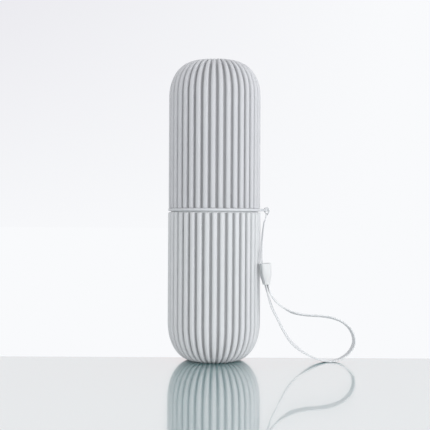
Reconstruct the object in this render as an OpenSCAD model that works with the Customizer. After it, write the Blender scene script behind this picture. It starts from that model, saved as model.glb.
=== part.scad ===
// Travel case for an electric toothbrush: a tall capsule in two ribbed halves,
// with a strap ring at the seam that carries a wrist strap.
// Millimetres. The origin is the centre of the base, +Z is up, and +X points at the strap lug.

/* [Case] */
// Height of the closed case
case_h = 210; // [190:1:230]
// Height of the cup, from the table to its rim
cup_h = 104.6; // [96:0.1:112]
// Width of the cup over its ribs
cup_d = 65; // [60:0.5:70]
// How much smaller the cap's radius is than the cup's
cap_inset = 0.3; // [0:0.1:0.6]
// Thickness of both shells, measured at the top of a rib
wall = 2.9; // [2.7:0.1:3.6]
// Thickness of the cup's base and of the cap's top
end_t = 3; // [2.6:0.1:4]

/* [Crown and heel] */
// How far the rounded crown reaches in from the side
crown_reach = 21; // [16:0.5:24]
// Height of the rounded crown
crown_rise = 26; // [20:0.5:32]
// How far the rounded heel reaches in from the side
heel_reach = 19; // [15:0.5:22]
// Height of the rounded heel
heel_rise = 28; // [22:0.5:30]
// Fullness of both roundings, where 2 is an ellipse
fullness = 2.2; // [2:0.1:2.6]

/* [Ribs] */
// Number of ribs round each shell
ribs = 38; // [24:1:44]
// Depth of the grooves between the ribs
rib_depth = 2; // [0.8:0.1:2.1]
// Width of a groove's floor as a share of the rib's pitch
groove_share = 0.3; // [0.1:0.02:0.4]
// Fullness of one rib's arch, where 2 is an ellipse
rib_arch = 2.6; // [2:0.1:4]
// Angle of the cup's first rib, from +X
cup_turn = 5.2; // [0:0.1:9]
// Angle of the cap's first rib, from +X
cap_turn = 2.7; // [0:0.1:9]
// Length over which the rib ends are rounded at the seam
rib_end = 1; // [0.5:0.1:2]

/* [Closure] */
// Height of the neck above the cup's rim
neck_h = 20; // [14:0.5:26]
// Thickness of the inner cup and its neck
neck_wall = 1.5; // [1.2:0.1:2]
// Radial gap between the neck and the cap
slip = 0.2; // [0.1:0.05:0.4]
// Radial gap between the inner cup and the shell
liner_fit = 0.1; // [0.05:0.05:0.2]
// Width of the shoulder that the cap rests on
seat_w = 0.8; // [0.5:0.1:1.2]
// Height of the seal's groove above the rim
seal_z = 10.5; // [6:0.5:11.5]
// Width of the seal along the neck
seal_w = 1.9; // [1.2:0.1:2.4]
// Depth of the seal's groove
seal_depth = 0.8; // [0.5:0.1:0.8]
// Running gap round each piece that turns
run_gap = 0.05; // [0.03:0.01:0.08]

/* [Strap ring] */
// Thickness of the strap ring
ring_t = 1.8; // [1.4:0.1:2.6]
// How far the ring stands proud of the cup's ribs
ring_proud = 0.1; // [0:0.05:0.5]
// Gap above and below the ring
ring_play = 0.1; // [0.05:0.05:0.2]
// Depth of the shadow gap under the ring
rim_inset = 1.8; // [1:0.1:1.8]
// Height of the shadow gap under the ring
rim_gap = 0.7; // [0.4:0.1:1.2]
// How far the lug stands out from the ring
lug_reach = 5.3; // [5:0.1:7]
// Width of the lug
lug_w = 5.6; // [5:0.1:8]
// Radius of the eye in the lug
eye_r = 1.5; // [1.4:0.05:1.7]
// Width of the bar outside the eye
bar_w = 2.1; // [1.8:0.1:2.2]
// Bevel on the bar, so that the string isn't cut
bar_bevel = 0.45; // [0.3:0.05:0.5]

/* [Inside] */
// Diameter of the toothbrush handle
handle_d = 28; // [24:0.5:29]
// Gap round the handle in its socket
handle_fit = 0.5; // [0.3:0.1:1]
// Distance of the handle behind the axis, away from the lug
handle_back = 8.5; // [7.5:0.5:9.5]
// Diameter of the openings for the brush heads
head_d = 15; // [13:0.5:15.5]
// Distance of the brush heads in front of the axis
head_x = 13.5; // [13:0.5:14.5]
// Distance between the two brush heads
head_pitch = 21; // [18:0.5:23]
// Diameter of the peg that holds a brush head
peg_d = 3.6; // [2.5:0.1:5]
// Height of the peg
peg_h = 22; // [14:0.5:30]
// Height of the lower tray's ledge
tray_z = 32; // [31:0.5:40]
// Depth of the handle's socket under the tray
socket_depth = 16; // [8:0.5:16]
// Height of the guide plate's ledge
guide_z = 96; // [80:0.5:104]
// Thickness of the tray and the guide plate
plate_t = 2; // [1.5:0.1:3]
// Height of the upturned edge round the guide plate
guide_edge = 3; // [2:0.5:5]
// How far the ledges stand in from the inner cup
ledge_w = 1.2; // [0.8:0.1:1.6]
// Gap round the tray and the guide plate
plate_fit = 0.2; // [0.1:0.05:0.4]
// Thickness of the soft pad under the handle
pad_t = 1.5; // [1:0.1:2]

/* [Base pad] */
// Diameter of the soft pad in the base
base_pad_d = 22; // [16:0.5:25]
// Depth of the pad's recess
base_pad_t = 0.8; // [0.5:0.1:1.2]

/* [Wrist strap] */
// Diameter of the string
string_d = 0.8; // [0.6:0.05:0.85]
// Width of the wrist band
band_w = 5.5; // [4:0.25:6]
// Thickness of the wrist band
band_t = 1.3; // [0.8:0.05:1.5]
// Diameter of the ferrule at its upper end
ferrule_d = 8.4; // [8.2:0.1:9]
// Length of the ferrule
ferrule_l = 14.6; // [12:0.1:16]
// Thickness of the ferrule's wall
ferrule_wall = 0.7; // [0.5:0.1:0.9]
// Lean of the ferrule away from the case at its lower end
ferrule_lean = 4.5; // [0:0.5:6]
// Turn of the ferrule and the band about the upright
band_turn = 7; // [0:1:15]

/* [Hidden] */
$fn = 96;
eps = 0.01;
over = 1;

cup_r = cup_d / 2;
cap_r = cup_r - cap_inset;
cup_bore_r = cup_r - wall;
cap_bore_r = cap_r - wall;
rib_top = cup_h - rim_gap;
ring_z = cup_h + ring_play;
ring_r = cup_r + ring_proud;
cap_z = ring_z + ring_t + ring_play;

neck_r = cap_bore_r - slip;
neck_top = cup_h + neck_h;
liner_r = cup_bore_r - liner_fit;
liner_in_r = neck_r - neck_wall;
heel_flat_r = cup_r - heel_reach;
crown_flat_r = cap_r - crown_reach;
liner_floor_z = end_t + neck_wall;
plate_r = liner_in_r - plate_fit;
seal_low = cup_h + seal_z;

handle_r = handle_d / 2 + handle_fit;
head_r = head_d / 2;
socket_wall = 1.4;
socket_floor = tray_z - socket_depth;
drain_r = 2;
peg_foot_r = 4;
peg_foot_t = 1.5;
peg_z = tray_z + plate_t;
edge_w = 1.8;

nose_x = ring_r + lug_reach;
nose_r = lug_w / 2;
eye_x = nose_x - bar_w - eye_r;

// The ferrule's upper end, and the depth of what goes into each of its ends
ferrule_top = [35.2, -12.5, 68.8];
plug_drop = 0.6;
plug_t = 1.6;
slot_depth = 2.4;

// Steps round a rib, from floor to floor, as shares of half its arch
rib_steps = [-1, -0.9, -0.6, 0, 0.6, 0.9, 1];
// Steps round the crown and the heel, from the side to the flat, in degrees
round_steps = [0, 18, 36, 54, 72, 90];

// The pair of strings below the hitch: the middle of the pair, and the pair's turn from +Y
string_pair = [
    [[36.2, 0, 99.6], 0],
    [[35.3, -0.8, 97.4], 10],
    [[34.8, -2, 95], 20],
    [[34.3, -3.4, 92], 30],
    [[33.8, -5, 88.5], 45],
    [[33.4, -6.4, 85], 55],
    [[33.1, -7.8, 81.5], 65],
    [[32.9, -9.2, 78], 75],
    [[32.8, -10.6, 74.5], 85],
    [[32.8, -11.8, 71.5], 90],
    [[32.9, -12.3, 69.5], 90],
    [[33, -12.4, 67.4], 90]
];
string_apart = 0.45;
// One side of the hitch round the lug's bar, from below the eye to the bight in front
hitch = [
    [36.6, 0.42, 100.8],
    [36.2, 0.42, 102],
    [35.6, 0.42, 103.2],
    [35.25, 0.42, 104.4],
    [35.25, 0.42, 105.6],
    [35.7, 0.42, 106.75],
    [36.85, 0.45, 107.2],
    [38, 0.6, 106.75],
    [38.45, 0.9, 105.6],
    [38.3, 1.3, 104.4],
    [37.9, 1.5, 103.3],
    [37.5, 1.2, 102.3]
];
bight = [37.3, 0, 101.7];
// The wrist band's middle line in its own upright plane, which holds the ferrule's axis:
// out of the ferrule, along the table and back, as [distance from the axis, height]
band_route = [
    [0.3, 56.6], [0.45, 54.4], [1.1, 51], [2.1, 47.2], [3.8, 41.6], [5.9, 36.2], [8.6, 31.2], [11.2, 26],
    [13.8, 21.3], [16.6, 16.8], [20.2, 12.6], [24.6, 8.9], [28.9, 6.1], [33.2, 3.8], [38.4, 1.8],
    [43.4, 0.75], [48.6, 0.7], [53.7, 2.1], [57.8, 4.6], [61.2, 8], [63.2, 12.2], [63.2, 16.9],
    [61.2, 21.7], [57, 26.3], [51.1, 29.5], [45.2, 31.2], [39.4, 32], [33.2, 32.4], [25.8, 33.2],
    [19.6, 34.7], [14.5, 37.3], [9.8, 40.6], [5.8, 44.8], [3.2, 49.6], [2.1, 54.4], [1.95, 56.6]
];

function unit(v) = v / norm(v);

// Faces of a lofted solid with a middle point at each end
function loft_faces(rings, sides) = let (last = rings * sides + 1) concat(
    [for (k = [0:sides - 1]) [0, 1 + k, 1 + (k + 1) % sides]],
    [for (i = [0:rings - 2], k = [0:sides - 1]) let (a = 1 + i * sides, b = a + sides)
        [a + k, b + k, a + (k + 1) % sides]],
    [for (i = [0:rings - 2], k = [0:sides - 1]) let (a = 1 + i * sides, b = a + sides)
        [a + (k + 1) % sides, b + k, b + (k + 1) % sides]],
    [for (k = [0:sides - 1]) let (a = 1 + (rings - 1) * sides) [last, a + (k + 1) % sides, a + k]]
);

function middle(ring) = [for (axis = [0:2]) [for (p = ring) p[axis]] * [for (p = ring) 1] / len(ring)];

// A closed solid through rings of equally many points
module loft(rings) {
    points = concat([middle(rings[0])], [for (ring = rings) each ring], [middle(rings[len(rings) - 1])]);
    polyhedron(points, loft_faces(len(rings), len(rings[0])), convexity = 6);
}

// How far a rib has dropped at a share v of half its arch, as a share of the groove's depth
function rib_drop(v) = 1 - pow(1 - pow(abs(v), rib_arch), 1 / rib_arch);

// One ring of rib points at radius rho and height z, sunk along the outward slope [out, up]
function rib_ring(rho, z, out, up, depth, turn) = [
    for (i = [0:ribs - 1], v = rib_steps)
        let (
            a = turn + (i + v * (1 - groove_share) / 2) * 360 / ribs,
            sunk = depth * rib_drop(v),
            r = rho - sunk * out
        )
            [r * cos(a), r * sin(a), z - sunk * up]
];

// A rounded end's profile at angle t, as [in from the side, up from the side's end]
function round_in(t, reach) = reach * (1 - pow(cos(t), 2 / fullness));
function round_up(t, rise) = rise * pow(sin(t), 2 / fullness);
function round_slope(t, reach, rise) =
    unit([pow(cos(t), 2 - 2 / fullness) / reach, pow(sin(t), 2 - 2 / fullness) / rise]);
function rib_fade(t) = 1 - pow(t / 90, 6);

// The ribbed rings of a rounded end: side is the end of the straight ribs, way is 1 up or -1 down
function round_rings(r, side, reach, rise, way, turn) = [
    for (t = round_steps)
        let (slope = round_slope(t, reach, rise))
            rib_ring(r - round_in(t, reach), side + way * round_up(t, rise), slope[0],
                way * slope[1], rib_depth * rib_fade(t), turn)
];

function reversed(list) = [for (i = [len(list) - 1:-1:0]) list[i]];

// The smooth inner curve of a rounded end, as [radius, height] from the side to the flat
function round_curve(r, flat_r, side, rise, way) = [
    for (t = round_steps) [r - round_in(t, r - flat_r), side + way * round_up(t, rise)]
];

// A ledge inside the inner cup, sloped below so that it can be moulded
function ledge(z) = [
    [liner_in_r, z - 2 * ledge_w],
    [liner_in_r - ledge_w, z - ledge_w],
    [liner_in_r - ledge_w, z],
    [liner_in_r, z]
];

module cup_shell() {
    heel = reversed(round_rings(cup_r, heel_rise, heel_reach, heel_rise, -1, cup_turn));
    ends = [
        rib_ring(cup_r, rib_top - rib_end, 1, 0, rib_depth, cup_turn),
        rib_ring(cup_r - 0.25, rib_top - rib_end * 0.4, 1, 0, rib_depth - 0.25, cup_turn),
        rib_ring(cup_r - 0.8, rib_top, 1, 0, rib_depth - 0.8 + eps, cup_turn),
        rib_ring(cup_r - rim_inset, rib_top + eps, 1, 0, 0, cup_turn),
        rib_ring(cup_r - rim_inset, cup_h, 1, 0, 0, cup_turn)
    ];
    color("gainsboro") difference() {
        loft(concat(heel, ends));
        rotate_extrude() polygon(concat(
            [[0, end_t]],
            reversed(round_curve(cup_bore_r, heel_flat_r, heel_rise, heel_rise - end_t, -1)),
            [[cup_bore_r, cup_h + over], [0, cup_h + over]]
        ));
        translate([0, 0, -over]) cylinder(r = base_pad_d / 2, h = over + base_pad_t);
    }
}

module cup_liner() {
    color("whitesmoke") rotate_extrude() polygon(concat(
        [[0, end_t]],
        reversed(round_curve(liner_r, heel_flat_r, heel_rise, heel_rise - end_t, -1)),
        [
            [liner_r, cup_h],
            [neck_r, cup_h],
            [neck_r, seal_low],
            [neck_r - seal_depth, seal_low],
            [neck_r - seal_depth, seal_low + seal_w],
            [neck_r, seal_low + seal_w],
            [neck_r, neck_top - 0.4],
            [neck_r - 0.4, neck_top],
            [liner_in_r + 0.3, neck_top],
            [liner_in_r, neck_top - 0.3]
        ],
        reversed(ledge(guide_z)),
        reversed(ledge(tray_z)),
        round_curve(liner_in_r, heel_flat_r - neck_wall / 2, heel_rise, heel_rise - liner_floor_z, -1),
        [[0, liner_floor_z]]
    ));
}

module base_pad() {
    color("silver") difference() {
        cylinder(r = base_pad_d / 2 - run_gap, h = base_pad_t);
        for (r = [3, 6, 9])
            rotate_extrude() translate([r * base_pad_d / 22, 0]) circle(r = 0.3, $fn = 24);
    }
}

module holder_tray() {
    color("white") difference() {
        union() {
            translate([0, 0, tray_z]) cylinder(r = plate_r, h = plate_t);
            translate([-handle_back, 0, socket_floor - socket_wall])
                cylinder(r = handle_r + socket_wall, h = socket_depth + socket_wall + eps);
        }
        translate([-handle_back, 0, socket_floor]) cylinder(r = handle_r, h = socket_depth + plate_t + over);
        translate([-handle_back, 0, socket_floor - socket_wall - over])
            cylinder(r = drain_r, h = socket_wall + 2 * over);
    }
}

module handle_pad() {
    color("lightsteelblue") translate([-handle_back, 0, socket_floor]) difference() {
        cylinder(r = handle_r - plate_fit, h = pad_t);
        translate([0, 0, -over]) cylinder(r = drain_r + over, h = pad_t + 2 * over);
    }
}

// A peg with a foot, a slim stem that tapers a little and a round tip
module head_peg(side) {
    r = peg_d / 2;
    color("white") translate([head_x, side * head_pitch / 2, peg_z]) {
        cylinder(r = peg_foot_r, h = peg_foot_t);
        cylinder(r1 = r, r2 = r * 0.8, h = peg_h - r * 0.8);
        translate([0, 0, peg_h - r * 0.8]) sphere(r = r * 0.8, $fn = 32);
    }
}

module head_peg_left() {
    head_peg(1);
}

module head_peg_right() {
    head_peg(-1);
}

module guide_plate() {
    color("white") difference() {
        translate([0, 0, guide_z]) cylinder(r = plate_r, h = plate_t + guide_edge);
        translate([0, 0, guide_z + plate_t]) cylinder(r = plate_r - edge_w, h = guide_edge + over);
        translate([-handle_back, 0, guide_z - over]) cylinder(r = handle_r, h = plate_t + 2 * over);
        for (side = [-1, 1])
            translate([head_x, side * head_pitch / 2, guide_z - over])
                cylinder(r = head_r, h = plate_t + 2 * over);
    }
}

module seal_ring() {
    low = seal_low + run_gap;
    high = seal_low + seal_w - run_gap;
    in_r = neck_r - seal_depth + run_gap;
    out_r = cap_bore_r - run_gap;
    color("lightsteelblue") rotate_extrude() polygon([
        [in_r, low],
        [out_r - 0.3, low],
        [out_r, low + 0.4],
        [out_r, high - 0.4],
        [out_r - 0.3, high],
        [in_r, high]
    ]);
}

module strap_ring() {
    bevel = 0.3;
    in_r = neck_r + run_gap;
    color("white") difference() {
        union() {
            translate([0, 0, ring_z]) rotate_extrude() polygon([
                [in_r, 0],
                [ring_r - bevel, 0],
                [ring_r, bevel],
                [ring_r, ring_t - bevel],
                [ring_r - bevel, ring_t],
                [in_r, ring_t]
            ]);
            translate([ring_r - over, -nose_r, ring_z])
                cube([lug_reach + over - nose_r, lug_w, ring_t]);
            translate([nose_x - nose_r, 0, ring_z]) rotate_extrude() polygon([
                [0, 0],
                [nose_r - bar_bevel, 0],
                [nose_r, bar_bevel],
                [nose_r, ring_t - bar_bevel],
                [nose_r - bar_bevel, ring_t],
                [0, ring_t]
            ]);
        }
        translate([eye_x, 0, ring_z]) rotate_extrude() polygon([
            [0, -over],
            [eye_r + bar_bevel + over, -over],
            [eye_r, bar_bevel],
            [eye_r, ring_t - bar_bevel],
            [eye_r + bar_bevel + over, ring_t + over],
            [0, ring_t + over]
        ]);
    }
}

module cap_shell() {
    side = case_h - crown_rise;
    shoulder_z = neck_top + ring_play;
    upper_r = cap_bore_r - seat_w;
    ends = [
        rib_ring(cap_r - 0.4, cap_z, 1, 0, rib_depth - 0.4, cap_turn),
        rib_ring(cap_r, cap_z + rib_end * 0.5, 1, 0, rib_depth, cap_turn)
    ];
    color("gainsboro") difference() {
        loft(concat(ends, round_rings(cap_r, side, crown_reach, crown_rise, 1, cap_turn)));
        rotate_extrude() polygon(concat(
            [[0, cap_z - over], [cap_bore_r, cap_z - over], [cap_bore_r, shoulder_z], [upper_r, shoulder_z]],
            round_curve(upper_r, crown_flat_r, side, crown_rise - end_t, 1),
            [[0, case_h - end_t]]
        ));
    }
}

// A direction square to the path at each of its points, turned no more than the path turns
function carried(normal, tangent) = unit(normal - (normal * tangent) * tangent);
function tangents(path) = [
    for (i = [0:len(path) - 1]) unit(path[min(i + 1, len(path) - 1)] - path[max(i - 1, 0)])
];

// A round cord of diameter d along a path
module cord_tube(path, d, start_normal, sides = 8) {
    along = tangents(path);
    normals = [
        for (i = 0, n = carried(start_normal, along[0]); i < len(path);
            i = i + 1, n = i < len(path) ? carried(n, along[i]) : n) n
    ];
    loft([
        for (i = [0:len(path) - 1]) let (side = cross(along[i], normals[i]))
            [for (k = [0:sides - 1]) let (a = -k * 360 / sides)
                path[i] + d / 2 * (cos(a) * normals[i] + sin(a) * side)]
    ]);
}

// One string of the pair, from the ferrule up to the hitch: hand is 1 or -1
function tail(hand) = [
    for (step = reversed(string_pair))
        step[0] + hand * string_apart * [-sin(step[1]), cos(step[1]), 0]
];
function mirrored(path) = [for (p = path) [p[0], -p[1], p[2]]];

module strap_cord() {
    path = concat(tail(1), hitch, [bight], reversed(mirrored(hitch)), reversed(tail(-1)));
    color("whitesmoke") cord_tube(path, string_d, [1, 0, 0]);
}

// A tapered sleeve: round where the strings go in, and flattened to hold the band
module ferrule() {
    low_r = band_t + 2 * ferrule_wall;
    color("silver") translate(ferrule_top) rotate([0, -ferrule_lean, band_turn]) difference() {
        hull() {
            translate([0, 0, -0.4]) cylinder(r1 = ferrule_d / 2, r2 = ferrule_d / 2 - 0.4, h = 0.4, $fn = 32);
            translate([0, 0, -ferrule_l * 0.45]) cylinder(d = ferrule_d, h = 0.4, $fn = 32);
            for (side = [-1, 1])
                translate([0, side * (band_w / 2 + ferrule_wall - low_r), -ferrule_l])
                    cylinder(r = low_r, h = 0.4, $fn = 32);
        }
        translate([0, 0, -plug_drop - plug_t])
            cylinder(r = ferrule_d / 2 - ferrule_wall, h = plug_drop + plug_t + over);
        translate([-band_t * 1.3, -band_w / 2 - run_gap, -ferrule_l - over])
            cube([band_t * 2.6, band_w + 2 * run_gap, slot_depth + over]);
    }
}

module ferrule_plug() {
    color("gray") translate(ferrule_top) rotate([0, -ferrule_lean, band_turn])
        translate([0, 0, -plug_drop - plug_t])
            cylinder(r = ferrule_d / 2 - ferrule_wall - run_gap, h = plug_t);
}

module wrist_band() {
    half_w = band_w / 2;
    half_t = band_t / 2;
    soft = 0.3 * band_t;
    section = [
        [half_w, half_t - soft], [half_w - soft, half_t], [soft - half_w, half_t], [-half_w, half_t - soft],
        [-half_w, soft - half_t], [soft - half_w, -half_t], [half_w - soft, -half_t], [half_w, soft - half_t]
    ];
    path = [for (p = band_route) [p[0], 0, p[1]]];
    along = tangents(path);
    color("whitesmoke") translate([ferrule_top[0], ferrule_top[1], 0]) rotate([0, 0, band_turn]) loft([
        for (i = [0:len(path) - 1]) let (out = cross([0, 1, 0], along[i]))
            [for (s = section) path[i] + [0, s[0], 0] + s[1] * out]
    ]);
}

cup_shell();
cup_liner();
base_pad();
holder_tray();
handle_pad();
head_peg_left();
head_peg_right();
guide_plate();
seal_ring();
strap_ring();
cap_shell();
strap_cord();
ferrule();
ferrule_plug();
wrist_band();
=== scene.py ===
"""Travel case for an electric toothbrush, dressed for a studio view.

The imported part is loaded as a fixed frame. Each operator makes one piece, or one group of like
pieces, and main() calls them in order. Lengths are in metres, and MM turns millimetres into them.
"""

import math

import bpy
from mathutils import Matrix, Vector


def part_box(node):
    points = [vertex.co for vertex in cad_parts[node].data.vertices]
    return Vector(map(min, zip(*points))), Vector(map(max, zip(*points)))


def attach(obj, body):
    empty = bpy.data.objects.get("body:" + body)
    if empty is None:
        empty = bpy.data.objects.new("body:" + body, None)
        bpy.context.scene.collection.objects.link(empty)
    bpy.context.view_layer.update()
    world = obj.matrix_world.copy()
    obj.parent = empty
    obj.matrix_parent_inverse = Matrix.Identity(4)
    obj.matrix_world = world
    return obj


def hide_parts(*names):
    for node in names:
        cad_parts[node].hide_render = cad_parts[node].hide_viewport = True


bl_info = {
    "name": "Toothbrush Travel Case",
    "version": (1, 0, 0),
    "blender": (4, 5, 0),
    "location": "View3D > Sidebar > Travel Case",
    "description": "Ribbed capsule case with a turning strap ring and a wrist strap",
    "category": "Add Mesh",
}

MM = 0.001
# A radius below this is on the axis
ON_AXIS = 1e-9
# Steps across one rib of the shells
PER_RIB = 18
# Sockets of a colour Mix node, which share their names with its other kinds
MIX_FACTOR, MIX_A, MIX_B, MIX_RESULT = 0, 6, 7, 2

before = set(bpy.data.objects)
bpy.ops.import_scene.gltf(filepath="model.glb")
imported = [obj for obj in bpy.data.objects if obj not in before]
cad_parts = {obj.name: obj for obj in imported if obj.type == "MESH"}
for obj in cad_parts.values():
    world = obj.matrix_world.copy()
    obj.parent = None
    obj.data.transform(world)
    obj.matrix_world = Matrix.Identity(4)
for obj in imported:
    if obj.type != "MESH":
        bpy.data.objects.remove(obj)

# Heights of the cup's rim, the cap's rim and crown, and the neck that the cap pushes over
CUP_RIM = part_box("cup_shell")[1].z
CAP_RIM, CAP_TOP = (corner.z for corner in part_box("cap_shell"))
NECK_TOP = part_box("cup_liner")[1].z

# The pair of strings below the hitch: the middle of the pair in mm, and its turn from +Y in degrees
STRING_PAIR = [
    ((36.2, 0, 99.6), 0),
    ((35.3, -0.8, 97.4), 10),
    ((34.8, -2, 95), 20),
    ((34.3, -3.4, 92), 30),
    ((33.8, -5, 88.5), 45),
    ((33.4, -6.4, 85), 55),
    ((33.1, -7.8, 81.5), 65),
    ((32.9, -9.2, 78), 75),
    ((32.8, -10.6, 74.5), 85),
    ((32.8, -11.8, 71.5), 90),
    ((32.9, -12.3, 69.5), 90),
    ((33, -12.4, 67.4), 90),
]
# Half the distance between the two strings, in mm
STRING_APART = 0.45
# One side of the hitch round the lug's bar, from below the eye to the bight in front, in mm
HITCH = [
    (36.45, 0.45, 100.7),
    (36.6, 0.45, 101.7),
    (36.6, 0.45, 102.7),
    (36.51, 0.45, 103.27),
    (36.25, 0.45, 103.78),
    (35.85, 0.45, 104.16),
    (35.42, 0.45, 104.6),
    (35.16, 0.45, 105.15),
    (35.1, 0.45, 105.7),
    (35.26, 0.45, 106.34),
    (35.73, 0.45, 106.94),
    (36.4, 0.47, 107.29),
    (37.15, 0.53, 107.32),
    (37.85, 0.66, 107.03),
    (38.37, 0.88, 106.48),
    (38.62, 1.22, 105.6),
    (38.55, 1.55, 104.8),
    (38.32, 1.73, 104.05),
    (37.98, 1.66, 103.4),
    (37.66, 1.27, 102.84),
    (37.46, 0.68, 102.45),
]
# The front of the hitch, where its two sides meet, in mm
BIGHT = (37.4, 0, 102.3)
# The wrist band's middle line in its own upright plane, which holds the ferrule's axis, as
# (distance from the axis, height) in mm
BAND_ROUTE = [
    (0.3, 56.6), (0.45, 54.4), (1.1, 51), (2.1, 47.2), (3.8, 41.6), (5.9, 36.2), (8.6, 31.2),
    (11.2, 26), (13.8, 21.3), (16.6, 16.8), (20.2, 12.6), (24.6, 8.9), (28.9, 6.1), (33.2, 3.8),
    (38.4, 1.8), (43.4, 0.75), (48.6, 0.7), (53.7, 2.1), (57.8, 4.6), (61.2, 8), (63.2, 12.2),
    (63.2, 16.9), (61.2, 21.7), (57, 26.3), (51.1, 29.5), (45.2, 31.2), (39.4, 32), (33.2, 32.4),
    (25.8, 33.2), (19.6, 34.7), (14.5, 37.3), (9.8, 40.6), (5.8, 44.8), (3.2, 49.6), (2.1, 54.4),
    (1.95, 56.6),
]
# Roll of the band about its own line, as (share of its length, degrees): its inner side comes to
# the front, except where it lies on the table
BAND_ROLLS = [
    (0, 0), (0.1, 18), (0.27, 18), (0.36, 0), (0.48, 0), (0.54, 5), (0.63, 6), (0.71, 15),
    (0.83, 14), (0.92, -12), (1, 0),
]
# Middle of the ferrule's upper end, in mm
FERRULE_TOP = (35.2, -12.5, 68.8)
# Soft lights in the world, as (azimuth to the right of the camera, elevation, sharpness, strength)
SOFT_LIGHTS = [
    (20, 10, 12, 1.5),
    (45, 10, 12, 3.8),
    (-45, 5, 3, 0.42),
    (-90, 5, 12, 2.96),
]


def linear_rgb(hex_colour):
    """An sRGB hex colour as linear red, green and blue."""
    values = [int(hex_colour[i:i + 2], 16) / 255 for i in (1, 3, 5)]
    return [v / 12.92 if v <= 0.04045 else ((v + 0.055) / 1.055) ** 2.4 for v in values]


def with_alpha(colour):
    """A colour property as red, green, blue and an alpha of one."""
    return (*colour, 1)


class CaseShellSettings(bpy.types.PropertyGroup):
    """Shape and colour of the two ribbed shells."""

    ribs: bpy.props.IntProperty(
        name="Ribs", description="Number of ribs round each shell", default=38)
    cup_radius: bpy.props.FloatProperty(
        name="Cup radius", description="Radius over the cup's ribs", default=32.5 * MM,
        unit="LENGTH")
    cap_radius: bpy.props.FloatProperty(
        name="Cap radius", description="Radius over the cap's ribs", default=32.2 * MM,
        unit="LENGTH")
    wall: bpy.props.FloatProperty(
        name="Wall", description="Thickness at the top of a rib", default=2.9 * MM, unit="LENGTH")
    end_wall: bpy.props.FloatProperty(
        name="End wall", description="Thickness of the base and the crown", default=3 * MM,
        unit="LENGTH")
    seat: bpy.props.FloatProperty(
        name="Seat", description="Width of the shoulder that rests on the neck", default=0.8 * MM,
        unit="LENGTH")
    rib_depth: bpy.props.FloatProperty(
        name="Groove depth", description="Depth of the grooves between the ribs", default=2 * MM,
        unit="LENGTH")
    groove_share: bpy.props.FloatProperty(
        name="Groove share", description="Width of a groove's floor as a share of the rib's pitch",
        default=0.3)
    rib_arch: bpy.props.FloatProperty(
        name="Rib arch", description="Fullness of a rib's arch, where 2 is an ellipse", default=2.6)
    rib_end: bpy.props.FloatProperty(
        name="Rib end", description="Length over which a rib's end is rounded", default=1 * MM,
        unit="LENGTH")
    cup_turn: bpy.props.FloatProperty(
        name="Cup turn", description="Angle of the cup's first rib", default=math.radians(5.2),
        subtype="ANGLE")
    cap_turn: bpy.props.FloatProperty(
        name="Cap turn", description="Angle of the cap's first rib", default=math.radians(2.7),
        subtype="ANGLE")
    heel_reach: bpy.props.FloatProperty(
        name="Heel reach", description="How far the heel reaches in", default=19 * MM,
        unit="LENGTH")
    heel_rise: bpy.props.FloatProperty(
        name="Heel rise", description="Height of the rounded heel", default=28 * MM, unit="LENGTH")
    crown_reach: bpy.props.FloatProperty(
        name="Crown reach", description="How far the crown reaches in", default=21 * MM,
        unit="LENGTH")
    crown_rise: bpy.props.FloatProperty(
        name="Crown rise", description="Height of the rounded crown", default=26 * MM,
        unit="LENGTH")
    fullness: bpy.props.FloatProperty(
        name="Fullness", description="Fullness of both roundings, where 2 is an ellipse",
        default=2.2)
    rim_inset: bpy.props.FloatProperty(
        name="Rim inset", description="Depth of the shadow gap under the ring", default=1.8 * MM,
        unit="LENGTH")
    rim_gap: bpy.props.FloatProperty(
        name="Rim gap", description="Height of the shadow gap under the ring", default=0.7 * MM,
        unit="LENGTH")
    pad_radius: bpy.props.FloatProperty(
        name="Pad radius", description="Radius of the recess in the base", default=11 * MM,
        unit="LENGTH")
    pad_depth: bpy.props.FloatProperty(
        name="Pad depth", description="Depth of the recess in the base", default=0.8 * MM,
        unit="LENGTH")
    cup_colour: bpy.props.FloatVectorProperty(
        name="Cup colour", description="Cool light grey of the cup", subtype="COLOR",
        default=linear_rgb("#BDBFC1"))
    cap_colour: bpy.props.FloatVectorProperty(
        name="Cap colour", description="Cool light grey of the cap, a shade deeper",
        subtype="COLOR", default=linear_rgb("#B5B6B9"))


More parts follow.
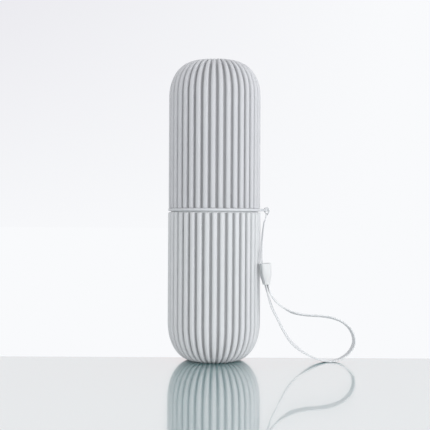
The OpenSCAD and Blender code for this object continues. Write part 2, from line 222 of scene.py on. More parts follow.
class CaseStrapSettings(bpy.types.PropertyGroup):
    """Sizes and colours of the strap ring, the string, the ferrule and the band."""

    string_diameter: bpy.props.FloatProperty(
        name="String diameter", description="Diameter of the string", default=0.8 * MM,
        unit="LENGTH")
    band_width: bpy.props.FloatProperty(
        name="Band width", description="Width of the wrist band", default=5.5 * MM, unit="LENGTH")
    band_thickness: bpy.props.FloatProperty(
        name="Band thickness", description="Thickness of the wrist band", default=1.3 * MM,
        unit="LENGTH")
    ferrule_diameter: bpy.props.FloatProperty(
        name="Ferrule diameter", description="Diameter at the string's end", default=8.4 * MM,
        unit="LENGTH")
    ferrule_length: bpy.props.FloatProperty(
        name="Ferrule length", description="Length of the ferrule", default=14.6 * MM,
        unit="LENGTH")
    ferrule_wall: bpy.props.FloatProperty(
        name="Ferrule wall", description="Thickness of the ferrule's wall", default=0.7 * MM,
        unit="LENGTH")
    ferrule_lean: bpy.props.FloatProperty(
        name="Ferrule lean", description="Lean of the ferrule's lower end", subtype="ANGLE",
        default=math.radians(4.5))
    band_turn: bpy.props.FloatProperty(
        name="Band turn", description="Turn of the ferrule and the band about the upright",
        subtype="ANGLE", default=math.radians(7))
    ring_colour: bpy.props.FloatVectorProperty(
        name="Ring colour", description="Pale grey of the strap ring", subtype="COLOR",
        default=linear_rgb("#BABCBF"))
    textile_colour: bpy.props.FloatVectorProperty(
        name="Textile colour", description="Light grey of the string and the band", subtype="COLOR",
        default=linear_rgb("#CACCCE"))
    metal_colour: bpy.props.FloatVectorProperty(
        name="Metal colour", description="Nickel of the ferrule", subtype="COLOR",
        default=linear_rgb("#EEF0F0"))
    plug_colour: bpy.props.FloatVectorProperty(
        name="Plug colour", description="Grey of the plug in the ferrule", subtype="COLOR",
        default=linear_rgb("#B9BCC0"))


class CaseInsideSettings(bpy.types.PropertyGroup):
    """Colours of the pieces inside the case."""

    liner_colour: bpy.props.FloatVectorProperty(
        name="Inner cup colour", description="White of the inner cup", subtype="COLOR",
        default=linear_rgb("#D0D2D4"))
    holder_colour: bpy.props.FloatVectorProperty(
        name="Holder colour", description="White of the tray, pegs and guide plate",
        subtype="COLOR", default=linear_rgb("#CBCED1"))
    soft_colour: bpy.props.FloatVectorProperty(
        name="Soft pad colour", description="Grey of the seal and the pads", subtype="COLOR",
        default=linear_rgb("#AEB4BB"))


class CaseStageSettings(bpy.types.PropertyGroup):
    """Camera, floor and lights."""

    camera_distance: bpy.props.FloatProperty(
        name="Camera distance", description="From the camera to the case's axis", default=600 * MM,
        unit="LENGTH")
    camera_height: bpy.props.FloatProperty(
        name="Camera height", description="Above the table", default=102 * MM, unit="LENGTH")
    camera_aside: bpy.props.FloatProperty(
        name="Camera aside", description="To the right of the case's axis", default=0.45 * MM,
        unit="LENGTH")
    camera_roll: bpy.props.FloatProperty(
        name="Camera roll", description="Turn about the line of sight", subtype="ANGLE",
        default=math.radians(0.3))
    focal_length: bpy.props.FloatProperty(
        name="Focal length", description="On a sensor 36 mm wide, in mm", default=71.2)
    table_edge: bpy.props.FloatProperty(
        name="Table edge", description="How far behind the axis the table ends", default=9 * MM,
        unit="LENGTH")
    mirror_colour: bpy.props.FloatVectorProperty(
        name="Mirror colour", description="What the glass table's face gives back",
        subtype="COLOR", default=linear_rgb("#ACA9A8"))
    haze_colour: bpy.props.FloatVectorProperty(
        name="Haze colour", description="What the glass table's ground back gives back",
        subtype="COLOR", default=linear_rgb("#B0A3A3"))
    glass_colour: bpy.props.FloatVectorProperty(
        name="Glass colour", description="Green body of the glass between them",
        subtype="COLOR", default=linear_rgb("#005254"))
    backdrop_colour: bpy.props.FloatVectorProperty(
        name="Backdrop colour", description="White of the backdrop", subtype="COLOR",
        default=linear_rgb("#F9FAFC"))
    fade_colour: bpy.props.FloatVectorProperty(
        name="Fade colour", description="Grey that the backdrop fades to at the top left",
        subtype="COLOR", default=linear_rgb("#E4E3E9"))
    backdrop_power: bpy.props.FloatProperty(
        name="Backdrop power", description="Strength of the backdrop's light on the case",
        default=1.22)
    world_strength: bpy.props.FloatProperty(
        name="World strength", description="Even light of the room on the camera's side",
        default=0.156)
    mirrored_strength: bpy.props.FloatProperty(
        name="Mirrored strength", description="Brightness of that room where a surface mirrors it",
        default=1.15)
    room_colour: bpy.props.FloatVectorProperty(
        name="Room colour", description="White of the room on the camera's side",
        subtype="COLOR", default=linear_rgb("#FAFAFC"))
    key_power: bpy.props.FloatProperty(
        name="Key power", description="Of the light at the right, in watts", default=4.9)
    front_power: bpy.props.FloatProperty(
        name="Front power", description="Of the light above and behind the camera, in watts",
        default=7.0)


def add_node(tree, kind, inputs=None, **settings):
    """Adds a node, sets its own settings, and fills its sockets with values or links."""
    made = tree.nodes.new(kind)
    for name, value in settings.items():
        setattr(made, name, value)
    for name, value in (inputs or {}).items():
        if isinstance(value, bpy.types.NodeSocket):
            tree.links.new(value, made.inputs[name])
        else:
            made.inputs[name].default_value = value
    return made


def calculate(tree, operation, *values):
    """Adds a Math node over values or links, and gives its result."""
    inputs = dict(enumerate(values))
    return add_node(tree, "ShaderNodeMath", inputs, operation=operation).outputs["Value"]


def spread(tree, value, low, high, start=0.0, end=1.0, interpolation="LINEAR"):
    """Takes a value between a start and an end to one between a low and a high."""
    return add_node(tree, "ShaderNodeMapRange", {
        "Value": value, "From Min": start, "From Max": end, "To Min": low, "To Max": high},
        interpolation_type=interpolation).outputs["Result"]


def noise(tree, place, size, detail, roughness=0.5):
    """Noise whose patches are of a size in metres, as a value from nought to one."""
    return add_node(tree, "ShaderNodeTexNoise", {
        "Vector": place, "Scale": 1 / size, "Detail": detail,
        "Roughness": roughness}).outputs["Fac"]


def shades(tree, factor, colour, low, high=1):
    """A colour that a factor takes from a darker shade of itself to a lighter one."""
    return add_node(tree, "ShaderNodeMix", {
        MIX_FACTOR: factor,
        MIX_A: with_alpha([c * low for c in colour]),
        MIX_B: with_alpha([min(c * high, 1) for c in colour])},
        data_type="RGBA").outputs[MIX_RESULT]


def bumps(tree, height, depth, strength=0.5):
    """A normal that follows a height from nought to one over a depth in metres."""
    return add_node(tree, "ShaderNodeBump", {
        "Height": height, "Distance": depth, "Strength": strength}).outputs["Normal"]


def seen_rays(tree):
    """The kinds of ray, and a value of one for those that show a thing rather than light it."""
    rays = add_node(tree, "ShaderNodeLightPath").outputs
    return rays, calculate(tree, "MAXIMUM", rays["Is Camera Ray"], rays["Is Glossy Ray"])


def new_material(name):
    """An empty node material with its output: the tree, and a function that takes the shader."""
    material = bpy.data.materials.new(name)
    material.use_nodes = True
    tree = material.node_tree
    tree.nodes.clear()
    output = tree.nodes.new("ShaderNodeOutputMaterial")
    return material, tree, lambda shader: tree.links.new(shader, output.inputs["Surface"])


def moulded_plastic(name, colour, roughness, grain_mm, grain_height_mm, painted_groove_shade=1):
    """Injection-moulded polypropylene: a satin sheen over a fine spark-eroded grain.

    With a groove shade below one, the colour of a mesh's groove floors is darkened: painted shade
    in the grooves.
    """
    material, tree, finish = new_material(name)
    place = add_node(tree, "ShaderNodeTexCoord").outputs["Object"]
    grain = noise(tree, place, grain_mm * MM, detail=2.0, roughness=0.6)
    cloud = noise(tree, place, 18 * MM, detail=3.0)
    tint = shades(tree, cloud, colour, low=0.97, high=1.02)
    # Painted shade: the colour is darkened towards the floors of the grooves by their depth
    if painted_groove_shade < 1:
        groove = add_node(tree, "ShaderNodeAttribute", attribute_name="Groove").outputs["Fac"]
        shade = spread(tree, groove, 1.0, painted_groove_shade, start=0.85, interpolation="SMOOTHSTEP")
        tint = add_node(tree, "ShaderNodeMix", {
            MIX_FACTOR: 1.0, MIX_A: tint, MIX_B: shade},
            data_type="RGBA", blend_type="MULTIPLY").outputs[MIX_RESULT]
    shader = add_node(tree, "ShaderNodeBsdfPrincipled", {
        "Base Color": tint, "Roughness": spread(tree, cloud, roughness - 0.04, roughness + 0.05),
        "Normal": bumps(tree, grain, grain_height_mm * MM), "IOR": 1.49})
    finish(shader.outputs["BSDF"])
    return material


def textile(name, colour, thread_mm):
    """Polyester yarn: matt, with a faint sheen, and a weave of crossed threads."""
    material, tree, finish = new_material(name)
    place = add_node(tree, "ShaderNodeUVMap", uv_map="Thread").outputs["UV"]
    warp, weft = (
        add_node(tree, "ShaderNodeTexWave", {
            "Vector": place, "Scale": 1 / (math.tau * thread_mm * MM), "Distortion": 0.4},
            wave_type="BANDS", bands_direction=direction).outputs["Fac"]
        for direction in ("X", "Y"))
    woven = calculate(tree, "MULTIPLY", warp, weft)
    shader = add_node(tree, "ShaderNodeBsdfPrincipled", {
        "Base Color": shades(tree, woven, colour, low=0.95), "Roughness": 0.85,
        "Sheen Weight": 0.3, "Normal": bumps(tree, woven, 0.03 * MM)})
    finish(shader.outputs["BSDF"])
    return material


def plated_metal(name, colour):
    """Nickel plate over brass: bright and faintly brushed, so it mirrors softly."""
    material, tree, finish = new_material(name)
    place = add_node(tree, "ShaderNodeTexCoord").outputs["Object"]
    drawn = add_node(tree, "ShaderNodeMapping", {"Vector": place, "Scale": (1, 1, 0.08)})
    brushed = noise(tree, drawn.outputs["Vector"], 0.3 * MM, detail=3.0)
    shader = add_node(tree, "ShaderNodeBsdfPrincipled", {
        "Base Color": with_alpha(colour), "Metallic": 1.0,
        "Roughness": spread(tree, brushed, 0.3, 0.42),
        "Normal": bumps(tree, brushed, 0.01 * MM, strength=0.3)})
    finish(shader.outputs["BSDF"])
    return material


def elastomer(name, colour):
    """Soft silicone: a dull, slightly dusty surface with a soft edge to its highlights."""
    material, tree, finish = new_material(name)
    place = add_node(tree, "ShaderNodeTexCoord").outputs["Object"]
    dust = noise(tree, place, 2.5 * MM, detail=5.0)
    shader = add_node(tree, "ShaderNodeBsdfPrincipled", {
        "Base Color": shades(tree, dust, colour, low=0.94), "Roughness": 0.7, "IOR": 1.41,
        "Sheen Weight": 0.15})
    finish(shader.outputs["BSDF"])
    return material


def dress_node(node, material):
    """Gives a CAD node a material in all its slots."""
    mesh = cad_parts[node].data
    mesh.materials.clear()
    mesh.materials.append(material)


def mesh_object(name, verts, faces, sharp_degrees=35):
    """A smooth-shaded mesh object whose edges sharper than an angle stay sharp."""
    mesh = bpy.data.meshes.new(name)
    mesh.from_pydata(verts, [], faces)
    mesh.validate()
    mesh.polygons.foreach_set("use_smooth", [True] * len(mesh.polygons))
    mesh.set_sharp_from_angle(angle=math.radians(sharp_degrees))
    made = bpy.data.objects.new(name, mesh)
    bpy.context.scene.collection.objects.link(made)
    return made


def loft_mesh(name, rings, sharp_degrees=35):
    """A closed solid through rings of equally many points."""
    sides = len(rings[0])
    verts = [p for ring in rings for p in ring]
    faces = [
        (a + k, a + (k + 1) % sides, a + sides + (k + 1) % sides, a + sides + k)
        for a in range(0, (len(rings) - 1) * sides, sides) for k in range(sides)
    ]
    faces.append(tuple(reversed(range(sides))))
    faces.append(tuple(range(len(verts) - sides, len(verts))))
    return mesh_object(name, verts, faces, sharp_degrees)


def rib_steps(crowding=1.8):
    """Steps over one rib, as shares of half its arch, crowded at its sides."""
    half = PER_RIB // 2
    side = [1 - (k / half) ** crowding for k in range(half)]
    return [-v for v in side] + [0] + side[::-1]


def spin_mesh(name, profile, shell, turn):
    """A solid of revolution whose wall is sunk into grooves between ribs.

    The profile runs along the section as (radius, height, out, up, depth): where the surface
    is at the top of a rib, which way it faces, and how deep a groove is there.
    """
    steps = rib_steps()
    drops = [1 - (1 - abs(v) ** shell.rib_arch) ** (1 / shell.rib_arch) for v in steps]
    half_arch = (1 - shell.groove_share) / 2
    angles = [
        turn + (i + v * half_arch) * math.tau / shell.ribs
        for i in range(shell.ribs) for v in steps]
    count = len(angles)
    verts, sinks, faces, starts = [], [], [], []
    for radius, height, out, up, depth in profile:
        starts.append(len(verts))
        if radius < ON_AXIS:
            verts.append((0, 0, height))
            sinks.append(0)
            continue
        for k, angle in enumerate(angles):
            sunk = depth * drops[k % len(steps)]
            r = radius - sunk * out
            verts.append((r * math.cos(angle), r * math.sin(angle), height - sunk * up))
            sinks.append(sunk / shell.rib_depth)
    radii = [row[0] for row in profile]
    for a, b, first, second in zip(starts, starts[1:], radii, radii[1:]):
        for k in range(count):
            n = (k + 1) % count
            if first < ON_AXIS:
                faces.append((a, b + n, b + k))
            elif second < ON_AXIS:
                faces.append((a + k, a + n, b))
            else:
                faces.append((a + k, a + n, b + n, b + k))
    made = mesh_object(name, verts, faces)
    # Each point's depth into a groove, which the shells' material uses to paint shade into the
    # grooves
    made.data.attributes.new("Groove", "FLOAT", "POINT").data.foreach_set("value", sinks)
    return made


def round_profile(radius, reach, rise, side, way, depth, fullness, steps=26, fade=6):
    """The rounded end of a shell, from its side to its flat, as steps of a profile.

    It goes up where way is 1 and down where it is -1, and its grooves fade out towards the flat.
    """
    bend, facing = 2 / fullness, 2 - 2 / fullness
    profile = []
    for k in range(steps + 1):
        t = k / steps * math.pi / 2
        c, s = 0 if k == steps else math.cos(t), math.sin(t)
        slope = Vector((c ** facing / reach, s ** facing / rise)).normalized()
        profile.append((
            radius - reach * (1 - c ** bend), side + way * rise * s ** bend,
            slope.x, way * slope.y, depth * (1 - (k / steps) ** fade)))
    return profile


def smooth_path(points, step):
    """Points a step apart on a smooth curve through the route's points."""
    points = [Vector(p) for p in points]
    gaps = [(b - a).length for a, b in zip(points, points[1:])]
    slopes = []
    for i in range(len(points)):
        if i == 0:
            slopes.append((points[1] - points[0]) / gaps[0])
        elif i == len(points) - 1:
            slopes.append((points[-1] - points[-2]) / gaps[-1])
        else:
            before = (points[i] - points[i - 1]) / gaps[i - 1]
            after = (points[i + 1] - points[i]) / gaps[i]
            slopes.append((before * gaps[i] + after * gaps[i - 1]) / (gaps[i - 1] + gaps[i]))
    path = []
    for i, gap in enumerate(gaps):
        count = max(1, round(gap / step))
        for k in range(count):
            t = k / count
            path.append(
                points[i] * (2 * t ** 3 - 3 * t ** 2 + 1)
                + points[i + 1] * (3 * t ** 2 - 2 * t ** 3)
                + (slopes[i] * (t ** 3 - 2 * t ** 2 + t) + slopes[i + 1] * (t ** 3 - t ** 2)) * gap)
    return path + [points[-1]]


def tangents(path):
    """The direction of a path at each of its points."""
    last = len(path) - 1
    return [(path[min(i + 1, last)] - path[max(i - 1, 0)]).normalized() for i in range(last + 1)]


def carried_frames(path, normal):
    """At each point of a path, two directions square to it that turn no more than it does."""
    frames = []
    for along in tangents(path):
        normal = (normal - along * normal.dot(along)).normalized()
        frames.append((normal, along.cross(normal)))
    return frames


def string_route():
    """The string's middle line: up from the ferrule, round the bar, and down again."""
    def tail(hand):
        for (x, y, z), turn in reversed(STRING_PAIR):
            a = math.radians(turn)
            yield (x - hand * STRING_APART * math.sin(a), y + hand * STRING_APART * math.cos(a), z)

    back = [(x, -y, z) for x, y, z in reversed(HITCH)]
    points = [*tail(1), *HITCH, BIGHT, *back, *reversed(list(tail(-1)))]
    return [Vector(p) * MM for p in points]


def band_route(turn):
    """The wrist band's middle line, out of the ferrule and back into it."""
    x, y, _ = FERRULE_TOP
    return [
        Vector((x + away * math.cos(turn), y + away * math.sin(turn), height)) * MM
        for away, height in BAND_ROUTE]


def band_roll(share):
    """The band's roll in degrees at a share of its length."""
    for (start, low), (end, high) in zip(BAND_ROLLS, BAND_ROLLS[1:]):
        if share <= end:
            return low + (high - low) * ease((share - start) / (end - start))


def ease(share):
    """A share kept between nought and one, with a soft start and end."""
    share = min(max(share, 0), 1)
    return share * share * (3 - 2 * share)


def thread_map(piece, sides, path, girth):
    """Lays a map in metres over a tube: along its path, and round it."""
    mesh = piece.data
    runs = [0]
    for a, b in zip(path, path[1:]):
        runs.append(runs[-1] + (b - a).length)
    layer = mesh.uv_layers.new(name="Thread")
    for polygon in mesh.polygons:
        corners = [mesh.loops[i].vertex_index for i in polygon.loop_indices]
        wraps = max(c % sides for c in corners) - min(c % sides for c in corners) > sides // 2
        for loop, corner in zip(polygon.loop_indices, corners):
            round_it = corner % sides + (sides if wraps and corner % sides == 0 else 0)
            layer.data[loop].uv = (runs[corner // sides], round_it / sides * girth)


def squared(value, power):
    """A sine or cosine drawn towards one or minus one, which makes an ellipse squarer."""
    return math.copysign(abs(value) ** power, value)


class TRAVELCASE_OT_camera(bpy.types.Operator):
    """Places the camera where the photograph was taken from"""

    bl_idname = "travelcase.camera"
    bl_label = "Camera"

    def execute(self, context):
        stage = context.scene.case_stage
        data = bpy.data.cameras.new("case_camera")
        data.lens = stage.focal_length
        data.sensor_width = 36
        data.clip_start = 10 * MM
        data.clip_end = 50
        camera = bpy.data.objects.new("case_camera", data)
        camera.location = (stage.camera_aside, -stage.camera_distance, stage.camera_height)
        camera.rotation_euler = (math.radians(90), -stage.camera_roll, 0)
        context.scene.collection.objects.link(camera)
        context.scene.camera = camera
        return {"FINISHED"}


class TRAVELCASE_OT_string(bpy.types.Operator):
    """Makes the braided string that is hitched to the lug"""

    bl_idname = "travelcase.string"
    bl_label = "String"

    def execute(self, context):
        strap = context.scene.case_strap
        radius = strap.string_diameter / 2
        sides, strands, plait = 16, 4, 1.1 * MM
        # The plait's relief, as shares of the radius
        mean, swing = 0.97, 0.05
        path = smooth_path(string_route(), step=0.14 * MM)
        frames = carried_frames(path, Vector((1, 0, 0)))
        rings, run = [], 0
        for i, (point, (across, over)) in enumerate(zip(path, frames)):
            run += (point - path[i - 1]).length if i else 0
            twist = math.tau * run / plait
            ring = []
            for k in range(sides):
                a = k * math.tau / sides
                relief = math.cos(strands * a + twist) * math.cos(strands * a - twist)
                r = radius * (mean + swing * relief)
                ring.append(point + r * (math.cos(a) * across + math.sin(a) * over))
            rings.append(ring)
        string = loft_mesh("strap_string", rings, sharp_degrees=80)
        thread_map(string, sides, path, girth=math.tau * radius)
        string.data.materials.append(
            textile("polyester_string", strap.textile_colour, thread_mm=0.25))
        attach(string, "strap_ring")
        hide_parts("strap_cord")
        return {"FINISHED"}


class TRAVELCASE_OT_band(bpy.types.Operator):
    """Makes the narrow woven band that goes round the wrist"""

    bl_idname = "travelcase.band"
    bl_label = "Wrist band"

    def execute(self, context):
        strap = context.scene.case_strap
        half_w, half_t = strap.band_width / 2, strap.band_thickness / 2
        path = smooth_path(band_route(strap.band_turn), step=0.8 * MM)
        aside = Vector((-math.sin(strap.band_turn), math.cos(strap.band_turn), 0))
        # The section is a flat oval with thicker edges
        sides, thin, edge = 24, 0.86, 0.14
        section = []
        for k in range(sides):
            a = math.tau * (k + 0.5) / sides
            x, y = math.cos(a), math.sin(a)
            section.append((
                half_w * squared(x, 0.45),
                half_t * squared(y, 0.55) * (thin + edge * abs(x) ** 6)))
        rings = []
        for i, (point, along) in enumerate(zip(path, tangents(path))):
            roll = Matrix.Rotation(math.radians(band_roll(i / (len(path) - 1))), 3, along)
            wide, out = roll @ aside, roll @ aside.cross(along)
            rings.append([point + wide * w + out * t for w, t in section])
        band = loft_mesh("woven_wrist_band", rings, sharp_degrees=60)
        thread_map(band, sides, path, girth=2 * strap.band_width)
        band.data.materials.append(
            textile("woven_polyester_tape", strap.textile_colour, thread_mm=0.45))
        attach(band, "strap_ring")
        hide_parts("wrist_band")
        return {"FINISHED"}


class TRAVELCASE_OT_ferrule(bpy.types.Operator):
    """Makes the nickel ferrule between the string and the band"""

    bl_idname = "travelcase.ferrule"
    bl_label = "Ferrule"

    def execute(self, context):
        strap = context.scene.case_strap
        length, sides = strap.ferrule_length, 64
        wall, lip, margin = strap.ferrule_wall, 0.35 * MM, 0.4 * MM
        top_r = strap.ferrule_diameter / 2
        bore, bore_depth = top_r - wall, 2.2 * MM
        low_x = strap.band_thickness + 2 * wall
        low_y = strap.band_width / 2 + wall
        straight = 0.45 * length
        lip_steps, side_steps = 6, 16
        turned = (
            Matrix.Rotation(strap.band_turn, 3, "Z") @ Matrix.Rotation(-strap.ferrule_lean, 3, "Y"))
        across, aside, lean = turned.col[0], turned.col[1], -turned.col[2]
        top = Vector(FERRULE_TOP) * MM

        def ring(down, rx, ry, power=1):
            """Points on an ellipse, or on a squarer one, some way down the ferrule's axis."""
            angles = [-k * math.tau / sides for k in range(sides)]
            return [
                top + lean * down + across * rx * squared(math.cos(a), power)
                + aside * ry * squared(math.sin(a), power) for a in angles]

        rings = [ring(bore_depth, bore, bore), ring(0.25 * MM, bore, bore)]
        for k in range(lip_steps + 1):
            a = k / lip_steps * math.pi
            r = (top_r + bore) / 2 - wall / 2 * math.cos(a)
            rings.append(ring(lip - lip * math.sin(a), r, r))
        for k in range(side_steps + 1):
            t = k / side_steps
            taper = ease((t * length - straight) / (length - straight))
            down = margin + t * (length - 2 * margin)
            rings.append(
                ring(down, top_r + (low_x - top_r) * taper, top_r + (low_y - top_r) * taper))
        for short, inset in ((0.1 * MM, 0.12 * MM), (0, margin)):
            rings.append(ring(length - short, low_x - inset, low_y - inset))
        # The slot that the band goes into is nearly square
        slot_x, slot_y = 1.3 * strap.band_thickness, strap.band_width / 2 + 0.05 * MM
        for depth in (0, 2.3 * MM):
            rings.append(ring(length - depth, slot_x, slot_y, power=0.35))
        ferrule = loft_mesh("nickel_ferrule", rings, sharp_degrees=40)
        ferrule.data.materials.append(plated_metal("nickel_plated_brass", strap.metal_colour))
        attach(ferrule, "strap_ring")
        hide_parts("ferrule")
        dress_node("ferrule_plug", moulded_plastic(
            "nylon_plug", strap.plug_colour, roughness=0.5, grain_mm=0.3, grain_height_mm=0.02))
        return {"FINISHED"}


class TRAVELCASE_OT_shells(bpy.types.Operator):
    """Makes the ribbed shells of the cup and the cap"""

    bl_idname = "travelcase.shells"
    bl_label = "Ribbed shells"

    def execute(self, context):
        shell = context.scene.case_shell
        for piece, body, node, colour in (
                (self.cup(shell), "cup", "cup_shell", shell.cup_colour),
                (self.cap(shell), "cap", "cap_shell", shell.cap_colour)):
            # The shells' colour carries painted shade on the floors of their grooves
            piece.data.materials.append(moulded_plastic(
                "satin_polypropylene", colour, roughness=0.42, grain_mm=0.35,
                grain_height_mm=0.02, painted_groove_shade=0.55))
            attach(piece, body)
            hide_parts(node)
        return {"FINISHED"}

    def cup(self, shell):
        """The lower shell, from its pad recess up its ribs, over the rim and down inside."""
        rim, r, depth, end = CUP_RIM, shell.cup_radius, shell.rib_depth, shell.rib_end
        rib_top, side = rim - shell.rim_gap, shell.heel_rise
        bore, flat = r - shell.wall, r - shell.heel_reach
        heel = round_profile(
            r, shell.heel_reach, shell.heel_rise, side, way=-1, depth=depth,
            fullness=shell.fullness)
        inner = round_profile(
            bore, bore - flat, shell.heel_rise - shell.end_wall, side, way=-1, depth=0,
            fullness=shell.fullness)
        profile = [(0, shell.pad_depth, 0, -1, 0), (shell.pad_radius, shell.pad_depth, 0, -1, 0)]
        profile.append((shell.pad_radius, 0, 0, -1, 0))
        profile += reversed(heel)
        profile += [(r, z, 1, 0, depth) for z in (0.4 * rim, 0.6 * rim, 0.8 * rim, rib_top - end)]
        # The ribs' ends are rounded inwards
        steps, inset = 8, 0.9 * MM
        for k in range(1, steps + 1):
            a = k / steps * math.pi / 2
            drop = inset * (1 - math.cos(a))
            height = rib_top - end * (1 - math.sin(a))
            profile.append((r - drop, height, 1, 0, max(depth - drop, 0)))
        # The shadow gap under the ring, whose floor starts a hair above the ribs' ends
        sunk = r - shell.rim_inset
        profile += [
            (sunk, rib_top + 0.02 * MM, 1, 0, 0), (sunk, rim, 1, 0, 0), (bore, rim, 0, 1, 0)]
        profile += inner
        profile.append((0, shell.end_wall, 0, 1, 0))
        return spin_mesh("ribbed_cup", profile, shell, shell.cup_turn)

    def cap(self, shell):
        """The upper shell, from its ceiling down inside, under the rim and up its ribs."""
        rim, top, r, depth = CAP_RIM, CAP_TOP, shell.cap_radius, shell.rib_depth
        side, neck_top = top - shell.crown_rise, NECK_TOP + 0.1 * MM
        bore, flat = r - shell.wall, r - shell.crown_reach
        upper = bore - shell.seat
        crown = round_profile(
            r, shell.crown_reach, shell.crown_rise, side, way=1, depth=depth,
            fullness=shell.fullness)
        inner = round_profile(
            upper, upper - flat, shell.crown_rise - shell.end_wall, side, way=1, depth=0,
            fullness=shell.fullness)
        profile = [(0, top - shell.end_wall, 0, -1, 0)]
        profile += reversed(inner)
        profile += [(upper, neck_top, -1, 0, 0), (bore, neck_top, -1, 0, 0), (bore, rim, -1, 0, 0)]
        # The rim's outer edge is rounded
        steps, lip = 4, 0.4 * MM
        for k in range(steps + 1):
            a = k / steps * math.pi / 2
            inset = lip * (1 - math.sin(a))
            profile.append((r - inset, rim + lip * (1 - math.cos(a)), 1, 0, max(depth - inset, 0)))
        profile += [(r, z, 1, 0, depth) for z in (rim + (side - rim) * k / 4 for k in (1, 2, 3))]
        profile += crown
        profile.append((0, top, 0, 1, 0))
        return spin_mesh("ribbed_cap", profile, shell, shell.cap_turn)


class TRAVELCASE_OT_ring(bpy.types.Operator):
    """Gives the strap ring and its lug their finish"""

    bl_idname = "travelcase.ring"
    bl_label = "Strap ring"

    def execute(self, context):
        colour = context.scene.case_strap.ring_colour
        dress_node("strap_ring", moulded_plastic(
            "pale_polypropylene", colour, roughness=0.4, grain_mm=0.3, grain_height_mm=0.015))
        return {"FINISHED"}


class TRAVELCASE_OT_inside(bpy.types.Operator):
    """Gives the inner cup, the brush holder, the seal and the pads their finish"""

    bl_idname = "travelcase.inside"
    bl_label = "Inside pieces"

    def execute(self, context):
        inside = context.scene.case_inside
        liner = moulded_plastic(
            "glossy_polypropylene", inside.liner_colour, roughness=0.25, grain_mm=0.8,
            grain_height_mm=0.01)
        holder = moulded_plastic(
            "holder_polypropylene", inside.holder_colour, roughness=0.4, grain_mm=0.35,
            grain_height_mm=0.02)
        silicone = elastomer("grey_silicone", inside.soft_colour)
        dress_node("cup_liner", liner)
        for node in ("holder_tray", "head_peg_left", "head_peg_right", "guide_plate"):
            dress_node(node, holder)
        for node in ("seal_ring", "handle_pad", "base_pad"):
            dress_node(node, silicone)
        return {"FINISHED"}


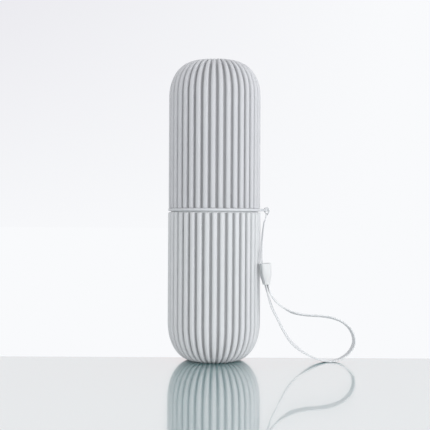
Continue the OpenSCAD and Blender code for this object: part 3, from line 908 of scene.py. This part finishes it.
class TRAVELCASE_OT_stage(bpy.types.Operator):
    """Makes the table, the white backdrop and the soft light"""

    bl_idname = "travelcase.stage"
    bl_label = "Stage"

    def execute(self, context):
        stage = context.scene.case_stage
        scene = context.scene
        scene.view_settings.view_transform = "Standard"
        self.table(stage)
        self.world(scene, stage)
        self.light("key_light", place=(1.18, -0.68, 0.39), size=0.6, power=stage.key_power)
        self.light("front_light", place=(0, -1.37, 0.39), size=0.6, power=stage.front_power)
        return {"FINISHED"}

    def table(self, stage):
        """A wide floor whose near part is pale glass and whose far part is backdrop white."""
        half = 6.0
        floor = mesh_object(
            "table_top", [(-half, -half, 0), (half, -half, 0), (half, half, 0), (-half, half, 0)],
            [(0, 1, 2, 3)])
        material, tree, finish = new_material("pale_glass_table")
        place = add_node(tree, "ShaderNodeTexCoord").outputs["Object"]
        axes = add_node(tree, "ShaderNodeSeparateXYZ", {"Vector": place}).outputs
        beyond = calculate(tree, "GREATER_THAN", axes["Y"], stage.table_edge)
        face = add_node(tree, "ShaderNodeBsdfAnisotropic", {
            "Color": with_alpha(stage.mirror_colour), "Roughness": 0.03})
        back = add_node(tree, "ShaderNodeBsdfAnisotropic", {
            "Color": with_alpha(stage.haze_colour), "Roughness": 0.16})
        body = add_node(tree, "ShaderNodeBsdfDiffuse", {"Color": with_alpha(stage.glass_colour)})
        mirrors = add_node(tree, "ShaderNodeAddShader", {
            0: face.outputs["BSDF"], 1: back.outputs["BSDF"]})
        glass = add_node(tree, "ShaderNodeAddShader", {
            0: mirrors.outputs["Shader"], 1: body.outputs["BSDF"]})
        white = add_node(tree, "ShaderNodeEmission", {"Color": with_alpha(stage.backdrop_colour)})
        plain = add_node(tree, "ShaderNodeBsdfDiffuse", {
            "Color": with_alpha(stage.backdrop_colour)})
        _, seen = seen_rays(tree)
        backdrop = add_node(tree, "ShaderNodeMixShader", {
            0: seen, 1: plain.outputs["BSDF"], 2: white.outputs["Emission"]})
        both = add_node(tree, "ShaderNodeMixShader", {
            0: beyond, 1: glass.outputs["Shader"], 2: backdrop.outputs["Shader"]})
        finish(both.outputs["Shader"])
        floor.data.materials.append(material)

    def world(self, scene, stage):
        """A white backdrop behind the case, and soft lights in the dark room on the camera's side.

        The backdrop's own light on the case is set apart from the white that is seen, and the
        room's light from its even brightness where a surface mirrors it.
        """
        scene.world = bpy.data.worlds.new("studio")
        scene.world.use_nodes = True
        tree = scene.world.node_tree
        tree.nodes.clear()
        rays, seen = seen_rays(tree)
        clear = calculate(tree, "MAXIMUM", seen, rays["Is Transmission Ray"])
        place = add_node(tree, "ShaderNodeTexCoord").outputs["Generated"]
        glow = stage.world_strength
        for aside, up, sharpness, strength in SOFT_LIGHTS:
            towards = Matrix.Rotation(math.radians(aside), 3, "Z") @ Vector(
                (0, -math.cos(math.radians(up)), math.sin(math.radians(up))))
            facing = add_node(
                tree, "ShaderNodeVectorMath", {0: place, 1: towards}, operation="DOT_PRODUCT")
            front = calculate(tree, "MAXIMUM", facing.outputs["Value"], 0.0)
            lobe = calculate(tree, "POWER", front, sharpness)
            glow = calculate(tree, "MULTIPLY_ADD", lobe, strength, glow)
        soft = add_node(tree, "ShaderNodeBackground", {
            "Color": with_alpha(stage.room_colour),
            "Strength": spread(tree, rays["Is Glossy Ray"], glow, stage.mirrored_strength)})
        # The seen white fades to grey at the top left
        slope, lift = -5.0, 0.06
        axes = add_node(tree, "ShaderNodeSeparateXYZ", {"Vector": place}).outputs
        left = calculate(tree, "MULTIPLY_ADD", axes["X"], slope, 1.0)
        high = calculate(tree, "ADD", axes["Z"], lift)
        corner = calculate(tree, "MULTIPLY", left, high)
        fade = calculate(tree, "MULTIPLY", corner, rays["Is Camera Ray"])
        paper = add_node(tree, "ShaderNodeMix", {
            MIX_FACTOR: fade, MIX_A: with_alpha(stage.backdrop_colour),
            MIX_B: with_alpha(stage.fade_colour)}, data_type="RGBA")
        white = add_node(tree, "ShaderNodeBackground", {
            "Color": paper.outputs[MIX_RESULT],
            "Strength": spread(tree, clear, stage.backdrop_power, 1.0)})
        # The camera sees the backdrop on all sides, and other rays only find it behind the case
        behind = spread(
            tree, axes["Y"], 0.0, 1.0, start=-0.15, end=0.15, interpolation="SMOOTHSTEP")
        back = calculate(tree, "MAXIMUM", behind, rays["Is Camera Ray"])
        mixed = add_node(tree, "ShaderNodeMixShader", {
            0: back, 1: soft.outputs["Background"], 2: white.outputs["Background"]})
        add_node(tree, "ShaderNodeOutputWorld", {"Surface": mixed.outputs["Shader"]})

    def light(self, name, place, size, power):
        """A square soft light that points at the middle of the case."""
        data = bpy.data.lights.new(name, "AREA")
        data.size = size
        data.energy = power
        lamp = bpy.data.objects.new(name, data)
        lamp.location = place
        lamp.visible_glossy = False
        middle = Vector((0, 0, 0.1))
        aim = middle - Vector(place)
        lamp.rotation_euler = aim.to_track_quat("-Z", "Y").to_euler()
        bpy.context.scene.collection.objects.link(lamp)


class TRAVELCASE_PT_panel(bpy.types.Panel):
    """Lists the pieces of the case and the sizes behind them"""

    bl_idname = "TRAVELCASE_PT_panel"
    bl_label = "Travel Case"
    bl_space_type = "VIEW_3D"
    bl_region_type = "UI"
    bl_category = "Travel Case"

    def draw(self, context):
        for operator in OPERATORS:
            self.layout.operator(operator.bl_idname)
        for name in SETTINGS:
            group = getattr(context.scene, name)
            box = self.layout.box()
            for key in group.bl_rna.properties.keys():
                if key not in ("rna_type", "name"):
                    box.prop(group, key)


OPERATORS = (
    TRAVELCASE_OT_camera, TRAVELCASE_OT_string, TRAVELCASE_OT_ferrule, TRAVELCASE_OT_band,
    TRAVELCASE_OT_shells, TRAVELCASE_OT_ring, TRAVELCASE_OT_inside, TRAVELCASE_OT_stage,
)
SETTINGS = {
    "case_shell": CaseShellSettings,
    "case_strap": CaseStrapSettings,
    "case_inside": CaseInsideSettings,
    "case_stage": CaseStageSettings,
}


def register():
    """Registers the settings, the operators and the panel."""
    for name, group in SETTINGS.items():
        bpy.utils.register_class(group)
        setattr(bpy.types.Scene, name, bpy.props.PointerProperty(type=group))
    for cls in (*OPERATORS, TRAVELCASE_PT_panel):
        bpy.utils.register_class(cls)


def unregister():
    """Takes everything that register() added away again."""
    for cls in reversed((*OPERATORS, TRAVELCASE_PT_panel)):
        bpy.utils.unregister_class(cls)
    for name, group in SETTINGS.items():
        delattr(bpy.types.Scene, name)
        bpy.utils.unregister_class(group)


def main():
    """Builds the case and its stage."""
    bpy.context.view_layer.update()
    register()
    for operator in OPERATORS:
        group, name = operator.bl_idname.split(".")
        getattr(getattr(bpy.ops, group), name)()


if __name__ == "__main__":
    main()
